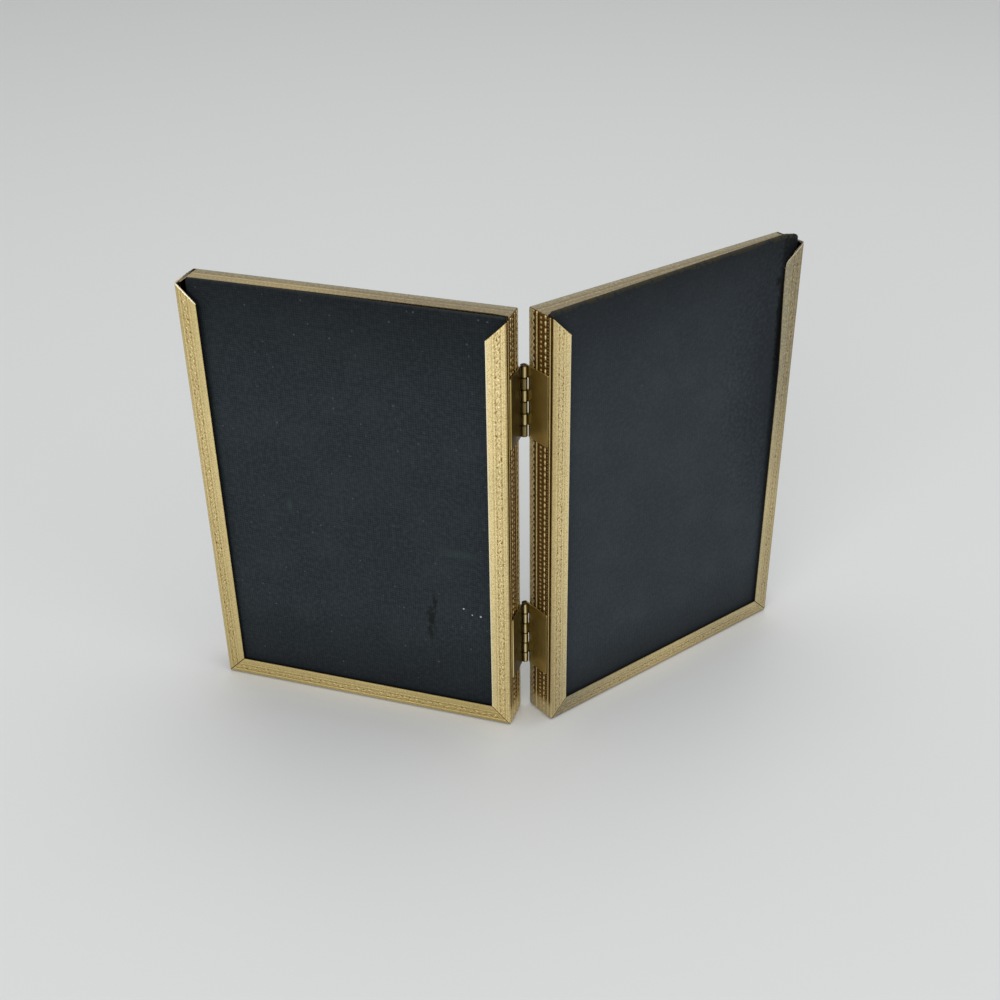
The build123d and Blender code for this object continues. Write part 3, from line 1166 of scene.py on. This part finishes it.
@dataclass
class Plate:
    """A flat plate with rounded corners, drawn as rings from its middle to its edge and round it."""

    corners: Array
    corner: float | Array = 0.5
    spacing: float = 1.0
    corner_steps: int = 6

    def outline(self, inset: float = 0.0) -> tuple[Array, Array]:
        """Lay out the plate's outline, or a ring inside it.

        Each corner is an arc that touches its two edges: its middle lies inside the corner by the radius
        over the sine of half the corner's angle. A ring further in than the radius has all but sharp
        corners. The edges between the arcs are divided evenly, always into as many parts.

        Args:
            inset: How far the ring lies inside the plate's edge.

        Returns:
            Places on the ring and directions out of it, anticlockwise where the corners are.
        """
        total = len(self.corners)
        radii = np.broadcast_to(np.asarray(self.corner, float), (total,))
        to_next = np.roll(self.corners, -1, axis=0) - self.corners
        lengths = np.linalg.norm(to_next, axis=1)
        edge = to_next / lengths[:, None]
        normal = np.stack([edge[:, 1], -edge[:, 0]], axis=1)
        before = np.roll(normal, 1, axis=0)
        inwards = -(normal + before)
        inwards /= np.sum(-inwards * normal, axis=1, keepdims=True)
        deep = np.maximum(radii, inset + 0.05)
        middle = self.corners + inwards * deep[:, None]
        share = np.linspace(0.0, 1.0, self.corner_steps)[None, :, None]
        turned = before[:, None] * (1 - share) + normal[:, None] * share
        turned /= np.linalg.norm(turned, axis=2, keepdims=True)
        arcs = middle[:, None] + turned * (deep - inset)[:, None, None]
        places, directions = [], []
        for number in range(total):
            places.append(arcs[number])
            directions.append(turned[number])
            gap = arcs[(number + 1) % total, 0] - arcs[number, -1]
            count = max(int(lengths[number] / self.spacing), 1)
            steps = np.linspace(0.0, 1.0, count + 1)[1:-1, None]
            places.append(arcs[number, -1] + gap * steps)
            directions.append(np.repeat(normal[number][None, :], len(steps), axis=0))
        return np.concatenate(places), np.concatenate(directions)

    def rings(
        self, profile: Array, close: tuple[bool, bool], outwards: Array | None = None
    ) -> tuple[Array, Array, list[Array]]:
        """Draw rings at the profile's insets and heights, and close them where asked.

        A ring is the outline moved in by the inset, at one height. A closed end is a fan of triangles to the
        middle of the plate.

        Args:
            profile: Rows of inset and height.
            close: Whether the first and the last ring are closed.
            outwards: How far each place of the outline stands out, for a ragged edge that fades inwards.

        Returns:
            Places in the plate's plane, heights, and the faces.
        """
        rings = []
        for inset in profile[:, 0]:
            places, directions = self.outline(inset)
            if outwards is not None:
                places = places + directions * outwards[:, None] * max(1.0 - inset, 0.0)
            rings.append(places)
        rows, columns = len(rings), len(rings[0])
        flat = np.concatenate(rings)
        rise = np.repeat(profile[:, 1], columns)
        faces = [grid_faces(rows, columns)]
        here = np.arange(columns)
        for wanted, row in zip(close, (0, rows - 1)):
            if wanted:
                flat = np.concatenate([flat, np.mean(self.corners, axis=0, keepdims=True)])
                rise = np.append(rise, profile[row, 1])
                pole = np.full(columns, len(flat) - 1)
                ring = row * columns + here
                beside = row * columns + (here + 1) % columns
                fan = [beside, ring, pole] if row == 0 else [ring, beside, pole]
                faces.append(np.stack(fan, axis=1))
        return flat, rise, faces


@dataclass
class GlassPane:
    """The glass: a plate with ground edges, a hair thinner than its seat so that it stays off the card."""

    side: Side
    finish: bpy.types.Material
    front: float = 0.48
    thickness: float = 1.91
    ground: float = 0.2
    clearance: float = 0.03
    foot: float = 0.73
    head: float = 130.77

    def build(self) -> bpy.types.Object:
        """Build the pane, dress it and hang it on its frame.

        Returns:
            The finished piece.
        """
        low, high = SIZES.insert_inner + self.clearance, SIZES.insert_outer - self.clearance
        corners = np.array([(low, self.foot), (high, self.foot), (high, self.head), (low, self.head)])
        plate = Plate(corners, corner=0.4, spacing=6.0, corner_steps=5)
        profile = eased_edge(self.thickness, self.ground, 2 * self.ground)
        flat, rise, faces = plate.rings(profile, close=(True, True))
        points = SIZES.world(self.side, flat[:, 0], self.front + rise, flat[:, 1])
        piece = add_piece(f"{self.side.label}_glass_pane", points, faces, sharp=30.0)
        piece.data.materials.append(self.finish)
        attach(piece, f"{self.side.label}_frame")
        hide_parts(f"{self.side.label}_glass")
        return piece


@dataclass
class ClothCover:
    """Cloth drawn tight over the backing board's back and edges, and turned in as a hem on its front."""

    side: Side
    finish: bpy.types.Material
    rises: tuple[float, float]
    worn: tuple[float, float]
    outer: float
    head_front: float
    ragged: float = 0.03
    bare: float = 0.0
    board_thickness: float = 1.1
    cloth: float = 0.25
    hem: float = 9.0
    ease: float = 0.3
    back_insets: tuple[float, ...] = (2.2, 1.7, 1.2, 0.7)
    foot_corner: float = 0.4
    corner: float = 0.95
    foot: float = 1.0
    foot_front: float = 8.25
    uv_mm: float = 200.0
    bare_width: float = 1.15
    bare_waves: tuple[tuple[float, float, float], ...] = ((0.35, 0.37, 0.0), (0.25, 0.83, 1.0))
    fray_waves: tuple[tuple[float, float, float], ...] = ((1.0, 1.9, 0.0), (0.7, 4.3, 1.0), (0.5, 7.7, 2.0))

    def profile(self) -> Array:
        """Rings of the cloth's middle: the back, round the board's edge, and in over its front as a hem."""
        out, deep = self.cloth / 2, self.board_thickness + self.cloth / 2
        turn = np.linspace(0.0, np.pi / 2, 4)
        ease = self.ease
        back = np.stack([ease - ease * np.sin(turn), deep - ease + ease * np.cos(turn)], axis=1)
        front = np.stack([ease - ease * np.cos(turn), ease - out - ease * np.sin(turn)], axis=1)
        hem = np.array([(self.hem * part / 3, -out) for part in (1, 2, 3)])
        inside = np.array([(inset, deep) for inset in self.back_insets])
        return np.concatenate([inside, back, front, hem])

    def top_edge(self, low: float, high: float, top: float) -> Array:
        """Lay out the top edge, which slopes and is worn down over some length at its outer end.

        Args:
            low: Inner end of the edge.
            high: Outer end of the edge.
            top: Height that the rises are measured from.

        Returns:
            Corners of the edge, from its inner end outwards.
        """
        inner, outer = self.rises
        length, drop = self.worn
        knee = top + outer - (outer - inner) * length / (high - low)
        edge = [(low, top + inner), (high - length, knee), (high, top + outer - drop)]
        return np.array(edge if drop else [edge[0], edge[2]])

    def build(self) -> bpy.types.Object:
        """Build the cover, dress it and hang it on its board.

        Returns:
            The finished piece.
        """
        grow = self.cloth / 2
        low = SIZES.insert_inner + self.cloth - grow
        high = self.outer - self.cloth + grow
        top = SIZES.top_face - self.foot + grow
        edge = self.top_edge(low, high, top)
        corners = np.concatenate([[(low, -grow), (high, -grow)], edge[::-1]])
        radii = np.array([self.foot_corner] * 2 + [self.corner] * len(edge))
        plate = Plate(corners, corner=radii, spacing=0.6)
        places, _ = plate.outline()
        profile = self.profile()
        flat, rise, faces = plate.rings(profile, close=(True, False), outwards=self.frayed(places))
        lean = math.atan2(self.head_front - self.foot_front, SIZES.top_face - self.foot)
        t = self.foot_front + flat[:, 1] * math.sin(lean) + rise * math.cos(lean)
        z = self.foot + flat[:, 1] * math.cos(lean) - rise * math.sin(lean)
        points = SIZES.world(self.side, flat[:, 0], t, z)
        label = self.side.label
        piece = add_piece(f"{label}_cloth_cover", points, faces)
        set_uv(piece, flat / self.uv_mm)
        line = np.interp(flat[:, 0], edge[:, 0], edge[:, 1])
        from_edge = np.append(np.repeat(profile[:, 0], len(places)), self.hem)
        wide = self.bare_width + wander(flat[:, 0], self.bare_waves)
        near_top = 1.0 - smooth_step((line - flat[:, 1]) / wide, 0.5, 1.1)
        set_point_values(piece, "bare", self.bare * near_top * np.clip(2.0 - from_edge, 0.0, 1.0))
        shell = piece.modifiers.new("cloth_thickness", "SOLIDIFY")
        shell.thickness = self.cloth * MM * 0.9
        shell.offset = 0.0
        piece.data.materials.append(self.finish)
        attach(piece, f"{label}_back")
        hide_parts(f"{label}_backing_cloth")
        return piece

    def frayed(self, places: Array) -> Array:
        """How far the worn top edge stands out or in.

        Args:
            places: Places on the outline.

        Returns:
            Millimetres outwards, none below the top edge.
        """
        s, z = places[:, 0], places[:, 1]
        waves = wander(s, self.fray_waves) / sum(size for size, _, _ in self.fray_waves)
        near_top = smooth_step(z, np.max(z) - 4.0, np.max(z) - 2.5)
        return self.ragged * near_top * waves


@dataclass
class HingeLeaf:
    """A hinge leaf: a comb cut from sheet, whose three teeth are rolled round the pin."""

    side: Side
    hinge: Hinge
    finish: bpy.types.Material
    # Painted light and shade: 0 is painted shade, a half plain, 1 a painted highlight
    plate_rub: float
    rear_rub: float
    line_rub: float
    tooth_rub: float
    line_turn: float
    height: float = 21.4
    reach: float = 9.1
    thickness: float = 0.45
    barrel: float = 1.0
    notch: float = 0.9
    corner: float = 0.4
    knuckles: int = 6
    gap: float = 0.12
    roll_turn: float = 306.0
    edge: float = 0.06
    # Length over which the painted light fades in from each knuckle's ends
    rub_end: float = 0.4
    knuckle_rub: float = 0.1
    line_spread: float = 14.0

    def blank(self) -> tuple[Array, Array, Array]:
        """Cut the flat blank.

        Lines across it run from the rear edge to the ends of the teeth, and lines along it follow the sides
        of the teeth. A cell between two teeth and beyond the notches' foot is left out.

        Returns:
            Distances from the rear edge, heights above the leaf's foot, and which cells are kept.
        """
        radius = self.barrel - self.thickness / 2
        plate_end = self.reach + SIZES.lead
        notch_at = self.reach - self.notch
        rear = self.corner * (1 - np.cos(np.linspace(0.0, np.pi / 2, 8)))
        body = np.linspace(self.corner, notch_at, 6)[1:]
        teeth = np.array([(notch_at + plate_end) / 2, plate_end])
        roll = plate_end + radius * np.radians(np.linspace(0.0, self.roll_turn, 33)[1:])
        q = np.concatenate([rear, body, teeth, roll])
        pitch = self.height / self.knuckles
        first = 0 if self.side is Side.RIGHT else 1
        tops = self.height - pitch * np.arange(self.knuckles + 1)
        sides = np.concatenate([tops - self.gap / 2, tops + self.gap / 2])
        inside = sides[(sides > 0) & (sides < self.height)]
        middles = np.concatenate([tops[1:] + pitch / 2, tops[1:] + self.rub_end, tops[:-1] - self.rub_end])
        z = np.unique(np.concatenate([[0.0, self.height], inside, middles]))
        between = (z[1:] + z[:-1]) / 2
        number = np.floor((self.height - between) / pitch).astype(int)
        from_line = np.abs(from_nearest(between, pitch))
        tooth = (number % 2 == first) & ((from_line > self.gap / 2) | (between > self.height - self.gap))
        kept = tooth[:, None] | ((q[1:] + q[:-1]) / 2 < notch_at)[None, :]
        return q, z, kept

    def build(self) -> bpy.types.Object:
        """Build the leaf, dress it and hang it on its frame.

        The blank's rear corners are rounded by drawing its lines together towards the rear edge. Past the
        barrel's middle it follows a circle round the pin. Along one line the barrel gets a painted highlight,
        and the plates and teeth carry painted light and shade.

        Returns:
            The finished piece.
        """
        q, z, kept = self.blank()
        radius = self.barrel - self.thickness / 2
        plate_end = self.reach + SIZES.lead
        from_edge = np.clip(self.corner - q, 0.0, self.corner)
        half = self.height / 2 - self.corner + np.sqrt(self.corner**2 - from_edge**2)
        heights = self.height / 2 + (z[:, None] - self.height / 2) * half[None, :] / (self.height / 2)
        angle = np.clip(q - plate_end, 0.0, None) / radius
        s = radius * np.cos(angle)
        t = np.where(q < plate_end, self.reach - q, -SIZES.lead - radius * np.sin(angle))
        grid = SIZES.world(self.side, s[None, :], t[None, :], self.hinge.value + heights)
        numbers = np.arange(heights.size).reshape(heights.shape)
        cells = [numbers[:-1, :-1], numbers[:-1, 1:], numbers[1:, 1:], numbers[1:, :-1]]
        faces = np.stack(cells, axis=-1)[kept]
        used, faces = np.unique(faces, return_inverse=True)
        node = f"{self.hinge.label}_{self.side.label}_leaf"
        piece = add_piece(f"{node}_rolled", grid.reshape(-1, 3)[used], [faces.reshape(-1, 4)])
        # The barrel's line is a painted highlight; the plates and teeth carry painted light and shade
        from_end = np.abs(from_nearest(z, self.height / self.knuckles))
        off_line = (np.degrees(angle) - self.line_turn) / self.line_spread
        knuckle = self.knuckle_rub + (self.line_rub - self.knuckle_rub) * np.exp(-(off_line**2))
        ends = smooth_step(from_end, self.gap, self.rub_end)
        plate = np.interp(q, [0.0, plate_end], [self.plate_rub, self.tooth_rub])
        rubbed = np.where((q > plate_end)[None, :], ends[:, None] * knuckle[None, :], plate[None, :])
        rubbed[:, 0] = self.rear_rub
        set_point_values(piece, "rubbed", rubbed.ravel()[used])
        shell = piece.modifiers.new("sheet_thickness", "SOLIDIFY")
        shell.thickness = self.thickness * MM
        shell.offset = 0.0
        rounded = piece.modifiers.new("broken_edges", "BEVEL")
        rounded.width = self.edge * MM
        rounded.segments = 2
        rounded.limit_method = "ANGLE"
        rounded.angle_limit = math.radians(50.0)
        piece.data.materials.append(self.finish)
        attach(piece, f"{self.side.label}_frame")
        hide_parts(node)
        return piece


@dataclass(frozen=True)
class Studio:
    """Pale floor, soft lamps and the camera that took the photograph."""

    camera_mm: tuple[float, float, float] = (-58.435, -342.4308, 269.5997)
    yaw: float = 0.206
    pitch: float = 0.5462
    roll: float = 0.0104
    focal_pixels: float = 1361.0506
    centre_pixels: tuple[float, float] = (557.3852, 514.2773)
    image_pixels: float = 1000.0
    sensor_mm: float = 36.0
    floor_m: float = 6.0
    world_level: float = 0.6
    overhead_watts: float = 6.0
    front_watts: float = 8.7
    side_watts: float = 2.5

    def camera(self) -> None:
        """Set up the camera: it looks along yaw and pitch, turned by roll, with the photograph's shift."""
        forward = np.array(
            [
                math.sin(self.yaw) * math.cos(self.pitch),
                math.cos(self.yaw) * math.cos(self.pitch),
                -math.sin(self.pitch),
            ]
        )
        level = np.array([math.cos(self.yaw), -math.sin(self.yaw), 0.0])
        upright = np.cross(level, forward)
        c, s = math.cos(self.roll), math.sin(self.roll)
        right, up = c * level + s * upright, c * upright - s * level
        data = bpy.data.cameras.new("camera")
        data.sensor_width = self.sensor_mm
        data.lens = self.focal_pixels / self.image_pixels * self.sensor_mm
        data.shift_x = 0.5 - self.centre_pixels[0] / self.image_pixels
        data.shift_y = self.centre_pixels[1] / self.image_pixels - 0.5
        data.clip_start = 0.01
        camera = bpy.data.objects.new("camera", data)
        turned = np.eye(4)
        turned[:3, :3] = np.stack([right, up, -forward], axis=1)
        turned[:3, 3] = np.array(self.camera_mm) * MM
        camera.matrix_world = Matrix(turned.tolist())
        bpy.context.scene.collection.objects.link(camera)
        bpy.context.scene.camera = camera

    def floor(self) -> None:
        """Lay the floor: a plain pale board."""
        half = self.floor_m / 2
        x, y = np.meshgrid(np.linspace(-half, half, 3), np.linspace(-half, half, 3))
        points = np.stack([x, y, 0 * x], axis=-1).reshape(-1, 3)
        piece = add_piece("floor", points, [grid_faces(3, 3, closed=False)])
        piece.data.materials.append(SatinLaminate().material())

    def lamp(self, name: str, place: tuple[float, float, float], size: float, watts: float) -> None:
        """Hang a soft square lamp that faces the middle of the object.

        Args:
            name: The lamp's name.
            place: Where it hangs, in metres.
            size: Its side, in metres.
            watts: Its power.
        """
        data = bpy.data.lights.new(name, "AREA")
        data.size = size
        data.energy = watts
        lamp = bpy.data.objects.new(name, data)
        away = Vector(place) - Vector((0.0, 0.0, 0.06))
        lamp.matrix_world = Matrix.Translation(place) @ away.to_track_quat("Z", "Y").to_matrix().to_4x4()
        bpy.context.scene.collection.objects.link(lamp)

    def build(self) -> None:
        """Set up the floor, the lamps, the sky and the camera."""
        self.camera()
        self.floor()
        self.lamp("overhead_lamp", (0.2, 0.1, 1.3), 1.2, self.overhead_watts)
        self.lamp("front_lamp", (-0.8, -1.2, 0.6), 0.9, self.front_watts)
        self.lamp("side_lamp", (1.0, -1.0, 0.7), 0.8, self.side_watts)
        world = bpy.data.worlds.new("studio")
        world.use_nodes = True
        sky = world.node_tree.nodes["Background"]
        sky.inputs["Color"].default_value = (1.0, 1.0, 1.0, 1.0)
        sky.inputs["Strength"].default_value = self.world_level
        bpy.context.scene.world = world
        bpy.context.scene.view_settings.view_transform = "Standard"


@dataclass(frozen=True)
class PhotoFrame:
    """One frame of the pair: the four sides of its channel, its glass, and the cloth on its board.

    Each side, and the cloth, has a table of the settings that are its own.
    """

    side: Side
    strips: dict[Member, dict[str, object]]
    cover: dict[str, object]

    def build(self, finishes: dict[str, bpy.types.Material]) -> list[bpy.types.Object]:
        """Build the frame's pieces.

        Args:
            finishes: Materials by the record's slot.

        Returns:
            The new pieces.
        """
        parts = []
        for member, settings in self.strips.items():
            kind = TopRail if member is Member.TOP_RAIL else EmbossedChannel
            parts.append(kind(self.side, member, finishes["embossed_brass"], **settings))
        parts.append(GlassPane(self.side, finishes["glass"]))
        parts.append(ClothCover(self.side, finishes["black_cloth"], **self.cover))
        return [part.build() for part in parts]


LEFT_MARKS = (
    Mark(24.7, 39.0, 0.9, 3.0, "#12110E", 0.7),
    Mark(25.9, 33.0, 1.6, 4.5, "#12110E", 0.75),
    Mark(26.3, 27.6, 1.1, 3.0, "#12110E", 0.65),
    Mark(15.7, 38.1, 0.33, 0.33, "#C9CDD0", 0.8),
    Mark(13.1, 36.4, 0.28, 0.28, "#C9CDD0", 0.8),
    Mark(10.5, 36.3, 0.33, 0.33, "#C9CDD0", 0.8),
    Mark(16.3, 56.7, 7.0, 1.6, "#47524F", 0.16),
    Mark(68.6, 64.2, 1.2, 2.5, "#47524F", 0.2),
)
RIGHT_MARKS_AND_SHADE = (
    # Painted shade: darkens the cloth towards its outer flange
    Mark(92.0, 92.0, 22.0, 47.0, "#12171B", 0.5),
    # Painted shade in the top outer corner, under the rail and beside the flange
    Mark(92.2, 127.8, 4.4, 6.5, "#090B0D", 0.95),
    # Painted shadow along the flange's edge
    Mark(89.6, 109.0, 1.6, 30.0, "#090B0D", 0.95),
    # Two small black marks
    Mark(88.1, 119.5, 1.9, 1.4, "#0B0D0F", 1.0),
    Mark(89.2, 109.4, 1.5, 3.2, "#0B0D0F", 1.0),
)
# Painted highlights on the flange edge and mitred ends, and a painted floor reflection at the web's foot
LEFT_STRIPS = {
    Member.INNER_STILE: dict(tarnish=(0.0, -0.05, -0.2), stain_reach=0.5, edge_rub=0.75, foot_rub=0.75),
    Member.BOTTOM_RAIL: dict(tarnish=(-0.75, -0.5, -0.65), stain_reach=0.5),
    Member.OUTER_STILE: dict(tarnish=(-0.58, -0.4, -0.3, -0.5), stain_reach=0.5, end_rub=0.85),
    Member.TOP_RAIL: dict(tarnish=(0.55, 0.5, 0.95, 1.0), rears=(6.6, 6.1, 6.7), tab_depth=9.75),
}
LEFT_COVER = dict(rises=(-0.3, 0.05), worn=(0.0, 0.0), outer=SIZES.insert_outer, head_front=7.3)
RIGHT_STRIPS = {
    Member.INNER_STILE: dict(tarnish=(0.05, 0.0, 0.45), stain_reach=1.5, edge_rub=0.4, foot_rub=0.75),
    Member.BOTTOM_RAIL: dict(tarnish=(1.0, 0.5, 0.25, 0.55, 0.6), stain_reach=1.5),
    Member.OUTER_STILE: dict(tarnish=(0.6, 0.48, 0.9, 1.0), stain_reach=1.5, end_rub=0.4, pressed=1.25),
    Member.TOP_RAIL: dict(tarnish=(1.0, 0.95), seam_stain=0.3, rears=(7.4, 7.3, 5.0), tab_depth=6.6),
}
RIGHT_COVER = dict(rises=(0.5, 2.4), worn=(4.5, 1.0), outer=94.55, head_front=7.75, bare=1.0)
# Painted light and shade of each leaf's plate, rear edge, barrel line and teeth, from 0 dark, painted shade,
# through a half plain to 1 pale, a painted highlight, and how far round the barrel the line lies, in degrees
LEAF_LIGHT_LEVELS = {
    (Hinge.LOWER, Side.LEFT): (0.07, 0.6, 0.88, 0.1, 240.0),
    (Hinge.LOWER, Side.RIGHT): (0.58, 0.25, 0.88, 0.28, 240.0),
    (Hinge.UPPER, Side.LEFT): (0.07, 0.4, 0.28, 0.12, 226.0),
    (Hinge.UPPER, Side.RIGHT): (0.62, 0.25, 0.95, 0.2, 252.0),
}


def dress_solids(finishes: dict[str, bpy.types.Material]) -> None:
    """Give every solid that still shows the finish of its slot.

    Args:
        finishes: Materials by the record's slot.
    """
    for row in frame["record"]["subparts"]:
        for place in frame["nodes"][row["node"]].material_slots:
            place.material = finishes[row["material_slot"]]


def main() -> None:
    """Build the pair of frames, its hinges and the studio, and report each piece."""
    finishes = {
        "embossed_brass": GiltBrass().material(),
        "hinge_brass": HingeBrass().material(),
        "glass": FloatGlass().material(),
        "photo_paper": CardStock("print_paper_coated", "#EFE9DA", "#E2DAC6", 0.5, 0.6).material(),
        "grey_card": CardStock("grey_packing_card_pressed", "#A5A196", "#8A867B").material(),
        "brown_card": CardStock("brown_pasteboard_pressed", "#8A7355", "#6E5A40").material(),
        "black_cloth": BlackCloth(marks=LEFT_MARKS).material(),
    }
    # A lighter copy of the black cloth for the right board, with its own marks and painted shade
    lighter_cloth = BlackCloth(
        "black_cotton_cloth_faded",
        thread="#343B41",
        shade="#2C3237",
        dust="#444C52",
        marks=RIGHT_MARKS_AND_SHADE,
        fresh_foot_mm=22.0,
        lint=0.04,
    )
    dress_solids(finishes)
    left = PhotoFrame(Side.LEFT, LEFT_STRIPS, LEFT_COVER)
    right = PhotoFrame(Side.RIGHT, RIGHT_STRIPS, RIGHT_COVER)
    pieces = left.build(finishes) + right.build(finishes | {"black_cloth": lighter_cloth.material()})
    for (hinge, side), light_levels in LEAF_LIGHT_LEVELS.items():
        pieces.append(HingeLeaf(side, hinge, finishes["hinge_brass"], *light_levels).build())
    for piece in pieces:
        LOG.info("%s: %d faces", piece.name, len(piece.data.polygons))
    Studio().build()


if __name__ == "__main__":
    logging.basicConfig(level=logging.INFO)
    main()
